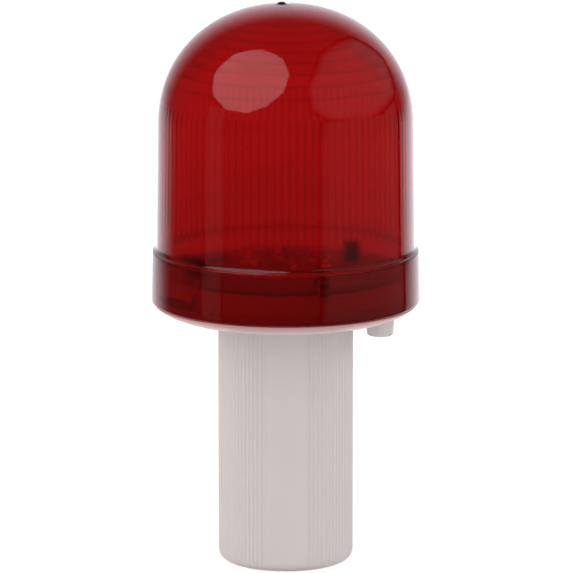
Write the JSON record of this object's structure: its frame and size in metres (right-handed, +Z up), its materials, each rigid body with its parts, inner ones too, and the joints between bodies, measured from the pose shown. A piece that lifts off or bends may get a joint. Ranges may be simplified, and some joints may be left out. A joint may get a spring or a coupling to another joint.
{
  "type": "led cone lamp",
  "caption": "Battery LED hazard lamp for the top of a traffic cone: red domed lens twist-locked on a white dish, push button below, ribbed screw-on battery tube as spigot.",
  "frame": {"origin": "middle of the battery tube's flat foot, where the lamp stands", "axes": "+Z up along the tube and lens axis; the smooth stripe of the tube faces -Y; the push button is on the +X side"},
  "size_m": [0.0804, 0.0804, 0.1695],
  "materials": {
    "white_plastic": "satin moulded white ABS",
    "red_lens": "clear red polycarbonate with inner flutes",
    "board_phenolic": "lacquered phenolic paper board",
    "led_epoxy": "clear red epoxy",
    "screw_steel": "blackened steel",
    "black_plastic": "moulded black",
    "capacitor_sleeve": "shrink sleeve",
    "spring_steel": "bright spring wire",
    "contact_plate": "nickel plated",
    "red_insulation": "pvc insulation",
    "black_insulation": "pvc insulation",
    "seal_silicone": "matt silicone",
    "cell_jacket": "plain wrapped cell"
  },
  "bodies": {
    "base": {"base_housing": "white_plastic", "circuit_board": "board_phenolic", "led_1": "led_epoxy", "led_2": "led_epoxy", "led_3": "led_epoxy", "led_4": "led_epoxy", "led_5": "led_epoxy", "led_6": "led_epoxy", "board_screw_1": "screw_steel", "board_screw_2": "screw_steel", "board_screw_3": "screw_steel", "driver_chip": "black_plastic", "capacitor": "capacitor_sleeve", "resistor_1": "black_plastic", "resistor_2": "black_plastic", "light_sensor": "black_plastic", "mode_switch": "black_plastic", "positive_contact": "spring_steel", "negative_contact": "spring_steel", "positive_lead": "red_insulation", "negative_lead": "black_insulation", "lens_seal": "seal_silicone", "tube_seal": "seal_silicone"},
    "lens": {"lens_dome": "red_lens"},
    "button": {"button_cap": "white_plastic", "switch_plunger": "black_plastic", "button_spring": "spring_steel"},
    "battery_pack": {"battery_carrier": "black_plastic", "battery_1": "cell_jacket", "battery_2": "cell_jacket", "battery_3": "cell_jacket", "battery_4": "cell_jacket", "cell_spring_1": "spring_steel", "cell_spring_2": "spring_steel", "cell_spring_3": "spring_steel", "cell_spring_4": "spring_steel", "bottom_bridge_1": "contact_plate", "bottom_bridge_2": "contact_plate", "top_bridge": "contact_plate", "positive_terminal": "contact_plate", "negative_terminal": "contact_plate"},
    "tube": {"battery_tube": "white_plastic"}
  },
  "joints": [
    {"name": "lens_twist", "type": "hinge", "parent": "base", "child": "lens", "pos_m": [0, 0, 0.0792], "axis": [0, 0, 1], "range_deg": [0, 45]},
    {"name": "button_press", "type": "slide", "parent": "base", "child": "button", "axis": [0, 0, 1], "range_m": [0, 0.0015], "stiffness_N_per_m": 1000, "springref_m": -0.0001, "deforming": ["button_spring"]},
    {"name": "carrier_drop", "type": "slide", "parent": "base", "child": "battery_pack", "axis": [0, 0, -1], "range_m": [0, 0.008]},
    {"name": "tube_unscrew", "type": "hinge", "parent": "battery_pack", "child": "tube", "pos_m": [0, 0, 0], "axis": [0, 0, -1], "range_deg": [0, 720]}
  ],
  "couplings": [
    {"joint": "tube_unscrew", "follows": "carrier_drop", "rad_per_m": 1570.8}
  ]
}
